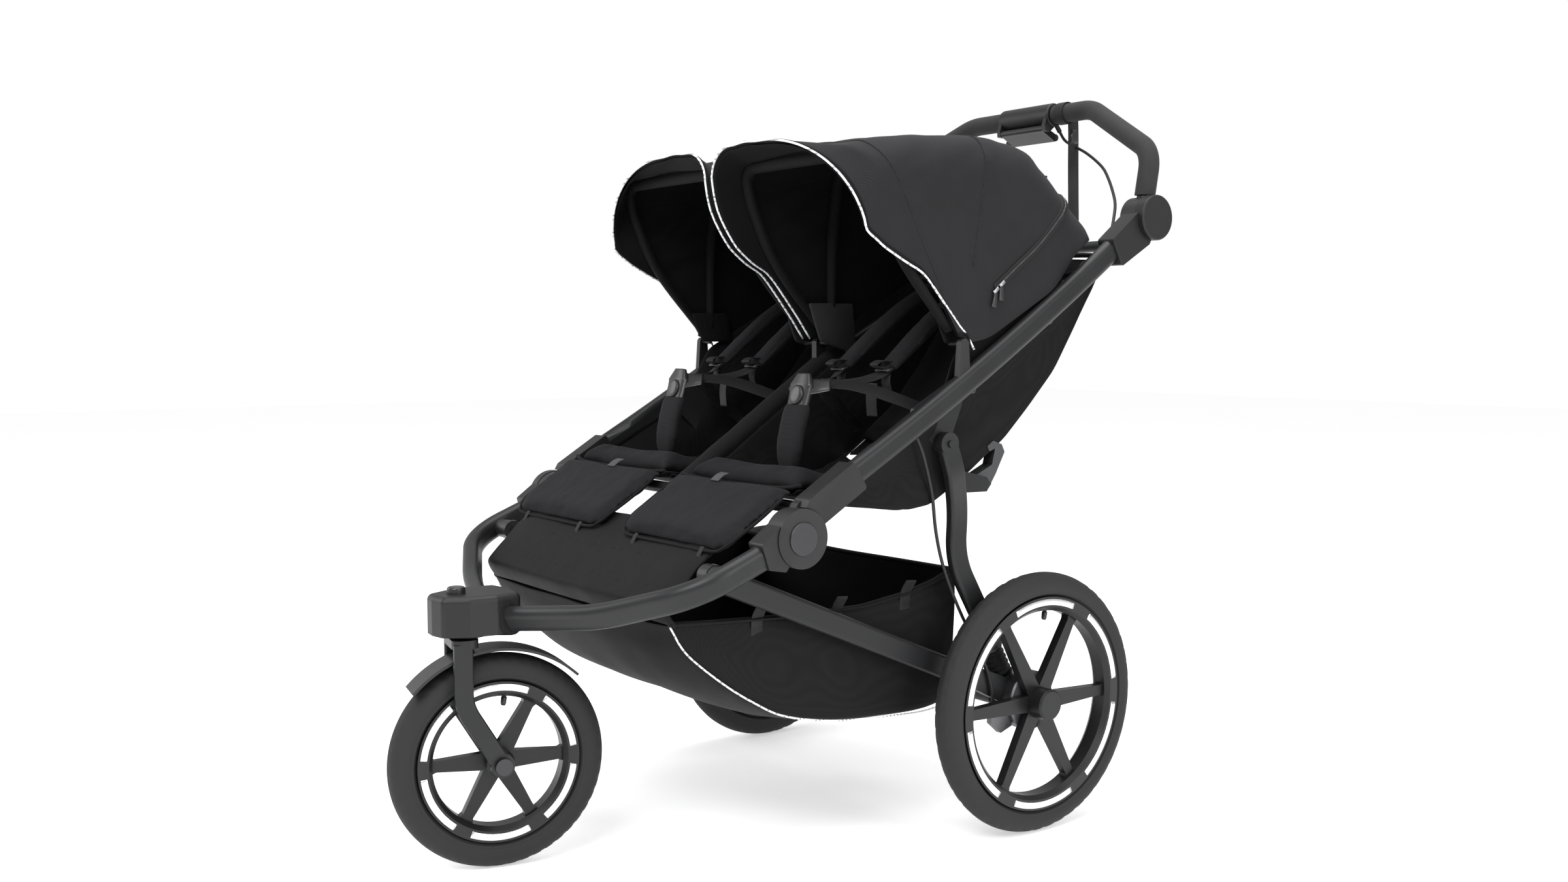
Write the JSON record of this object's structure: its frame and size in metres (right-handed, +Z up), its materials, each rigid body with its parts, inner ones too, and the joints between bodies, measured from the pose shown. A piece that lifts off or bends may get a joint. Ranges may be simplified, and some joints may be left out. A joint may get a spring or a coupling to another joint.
{
  "type": "double jogging stroller",
  "caption": "Side-by-side jogging stroller: swivelling front wheel, sprung rear wheels, folding frame, bucket seats, hinged canopies and a tilting handlebar.",
  "frame": {"origin": "on the ground, under the middle of the stroller's bounding box", "axes": "+X to the stroller's left, -Y forward, +Z up"},
  "size_m": [0.774, 1.2526, 1.171],
  "materials": {
    "frame_metal": "satin black powder coat",
    "rail_metal": "satin black powder coat",
    "wire_metal": "bright drawn wire",
    "housing_plastic": "moulded black nylon, fine texture",
    "pedal_plastic": "moulded black nylon, ribbed",
    "button_plastic": "smooth moulded black plastic",
    "fender_plastic": "smooth moulded black plastic",
    "rim_plastic": "moulded black composite",
    "cap_metal": "dark zinc plated",
    "drum_metal": "dark satin steel",
    "lever_metal": "satin black paint",
    "latch_metal": "cast, bead blasted",
    "tyre": "black rubber with a shallow tread",
    "bellows_rubber": "matt ribbed rubber",
    "grip_foam": "closed cell foam, matt",
    "seat_fabric": "plain woven nylon, padded",
    "pad_fabric": "brushed knit over foam",
    "canopy_fabric": "twill woven polyester",
    "basket_fabric": "coated woven nylon",
    "footrest_fabric": "coated woven nylon over stiffener",
    "strap_webbing": "woven nylon webbing",
    "cable_sheath": "smooth vinyl sheath"
  },
  "bodies": {
    "front_frame": {"front_head": "housing_plastic", "front_tube_left": "frame_metal", "front_tube_right": "frame_metal", "front_hinge_left": "housing_plastic", "front_hinge_right": "housing_plastic", "hinge_caps": "cap_metal", "footrest": "footrest_fabric", "calf_pad_left": "seat_fabric", "calf_pad_right": "seat_fabric", "basket": "basket_fabric", "rail_brackets": "housing_plastic"},
    "swivel_lock": {"swivel_lock": "button_plastic"},
    "fork": {"fork": "frame_metal", "fender": "fender_plastic", "front_axle": "cap_metal"},
    "front_wheel": {"front_tyre": "tyre", "front_rim": "rim_plastic"},
    "upper_frame": {"upper_tube_left": "frame_metal", "upper_tube_right": "frame_metal", "upper_hinge_left": "housing_plastic", "upper_hinge_right": "housing_plastic", "handle_pivot_left": "housing_plastic", "handle_pivot_right": "housing_plastic", "centre_rail": "frame_metal", "back_crossbar": "frame_metal", "canopy_hubs": "housing_plastic", "seat_left": "seat_fabric", "seat_right": "seat_fabric", "canopy_left": "canopy_fabric", "canopy_right": "canopy_fabric", "buckles": "button_plastic", "brake_cables": "cable_sheath"},
    "canopy_front_left": {"canopy_bow_left": "wire_metal"},
    "canopy_front_right": {"canopy_bow_right": "wire_metal"},
    "canopy_mid_left": {"canopy_mid_bow_left": "wire_metal"},
    "canopy_mid_right": {"canopy_mid_bow_right": "wire_metal"},
    "seat_back_left": {"seat_back_left": "seat_fabric", "shoulder_pads_left": "pad_fabric"},
    "seat_back_right": {"seat_back_right": "seat_fabric", "shoulder_pads_right": "pad_fabric"},
    "rear_legs": {"rear_leg_left": "rail_metal", "rear_leg_right": "rail_metal"},
    "fold_latch": {"fold_latch": "latch_metal"},
    "handlebar": {"handlebar": "frame_metal", "handlebar_grips": "grip_foam", "brake_housing": "housing_plastic", "wrist_strap": "strap_webbing"},
    "hand_brake": {"brake_lever": "lever_metal"},
    "handle_button_left": {"handle_button_left": "button_plastic"},
    "handle_button_right": {"handle_button_right": "button_plastic"},
    "rear_rails": {"lower_rail_left": "rail_metal", "lower_rail_right": "rail_metal"},
    "rear_suspension": {"rear_axle": "frame_metal", "brake_drums": "drum_metal", "suspension_bellows": "bellows_rubber"},
    "rear_wheel_left": {"rear_tyre_left": "tyre", "rear_rim_left": "rim_plastic"},
    "rear_wheel_right": {"rear_tyre_right": "tyre", "rear_rim_right": "rim_plastic"},
    "parking_brake": {"brake_pedal": "pedal_plastic"}
  },
  "joints": [
    {"name": "front_swivel", "type": "hinge", "parent": "front_frame", "child": "fork", "pos_m": [0, -0.5134, 0.333], "axis": [0, 0, 1], "continuous": true},
    {"name": "front_wheel_spin", "type": "hinge", "parent": "fork", "child": "front_wheel", "pos_m": [0.009, -0.47443, 0.155], "axis": [0.9744, -0.225, 0], "continuous": true},
    {"name": "swivel_lock_pull", "type": "slide", "parent": "front_frame", "child": "swivel_lock", "axis": [0, 0, 1], "range_m": [0, 0.006]},
    {"name": "frame_fold", "type": "hinge", "parent": "front_frame", "child": "upper_frame", "pos_m": [0, -0.1904, 0.488], "axis": [-1, 0, 0], "range_deg": [0, 120], "deforming": ["brake_cables", "basket", "seat_left", "seat_right"]},
    {"name": "rail_fold", "type": "hinge", "parent": "front_frame", "child": "rear_rails", "pos_m": [0, -0.2984, 0.44], "axis": [-1, 0, 0], "range_deg": [0, 92]},
    {"name": "leg_fold", "type": "hinge", "parent": "upper_frame", "child": "rear_legs", "pos_m": [0, 0.0866, 0.603], "axis": [1, 0, 0], "range_deg": [0, 61]},
    {"name": "suspension_travel", "type": "hinge", "parent": "rear_rails", "child": "rear_suspension", "pos_m": [0, 0.1496, 0.25], "axis": [1, 0, 0], "range_deg": [-6, 6], "stiffness_Nm_per_rad": 400, "springref_deg": -0.69, "deforming": ["suspension_bellows"]},
    {"name": "rear_wheel_left_spin", "type": "hinge", "parent": "rear_suspension", "child": "rear_wheel_left", "pos_m": [0.354, 0.2616, 0.2], "axis": [1, 0, 0], "continuous": true},
    {"name": "rear_wheel_right_spin", "type": "hinge", "parent": "rear_suspension", "child": "rear_wheel_right", "pos_m": [-0.354, 0.2616, 0.2], "axis": [1, 0, 0], "continuous": true},
    {"name": "parking_brake_press", "type": "hinge", "parent": "rear_suspension", "child": "parking_brake", "pos_m": [0, 0.2166, 0.208], "axis": [-1, 0, 0], "range_deg": [0, 20]},
    {"name": "canopy_left_fold", "type": "hinge", "parent": "upper_frame", "child": "canopy_front_left", "pos_m": [0.177, 0.1116, 0.748], "axis": [-1, 0, 0], "range_deg": [0, 70], "deforming": ["canopy_left"]},
    {"name": "canopy_left_mid_fold", "type": "hinge", "parent": "upper_frame", "child": "canopy_mid_left", "pos_m": [0.177, 0.1116, 0.748], "axis": [-1, 0, 0], "range_deg": [0, 39]},
    {"name": "seat_back_left_recline", "type": "hinge", "parent": "upper_frame", "child": "seat_back_left", "pos_m": [0.167, 0.1666, 0.566], "axis": [-1, 0, 0], "range_deg": [-12, 18]},
    {"name": "canopy_right_fold", "type": "hinge", "parent": "upper_frame", "child": "canopy_front_right", "pos_m": [-0.177, 0.1116, 0.748], "axis": [-1, 0, 0], "range_deg": [0, 70], "deforming": ["canopy_right"]},
    {"name": "canopy_right_mid_fold", "type": "hinge", "parent": "upper_frame", "child": "canopy_mid_right", "pos_m": [-0.177, 0.1116, 0.748], "axis": [-1, 0, 0], "range_deg": [0, 39]},
    {"name": "seat_back_right_recline", "type": "hinge", "parent": "upper_frame", "child": "seat_back_right", "pos_m": [-0.167, 0.1666, 0.566], "axis": [-1, 0, 0], "range_deg": [-12, 18]},
    {"name": "fold_latch_turn", "type": "hinge", "parent": "rear_legs", "child": "fold_latch", "pos_m": [0.31, 0.1766, 0.538], "axis": [1, 0, 0], "range_deg": [-20, 12], "stiffness_Nm_per_rad": 0.3},
    {"name": "handlebar_tilt", "type": "hinge", "parent": "upper_frame", "child": "handlebar", "pos_m": [0, 0.5086, 0.947], "axis": [-1, 0, 0], "range_deg": [-20, 70], "deforming": ["wrist_strap"]},
    {"name": "hand_brake_squeeze", "type": "hinge", "parent": "handlebar", "child": "hand_brake", "pos_m": [0, 0.5776, 1.126], "axis": [1, 0, 0], "range_deg": [0, 14], "stiffness_Nm_per_rad": 0.6, "springref_deg": -17.19},
    {"name": "handle_button_left_press", "type": "slide", "parent": "handlebar", "child": "handle_button_left", "axis": [1, 0, 0], "range_m": [0, 0.0035], "stiffness_N_per_m": 400},
    {"name": "handle_button_right_press", "type": "slide", "parent": "handlebar", "child": "handle_button_right", "axis": [-1, 0, 0], "range_m": [0, 0.0035], "stiffness_N_per_m": 400}
  ],
  "couplings": [
    {"joint": "rail_fold", "follows": "frame_fold", "ratio": 0.76},
    {"joint": "leg_fold", "follows": "frame_fold", "ratio": 0.5},
    {"joint": "canopy_left_mid_fold", "follows": "canopy_left_fold", "ratio": 0.55},
    {"joint": "canopy_right_mid_fold", "follows": "canopy_right_fold", "ratio": 0.55}
  ]
}
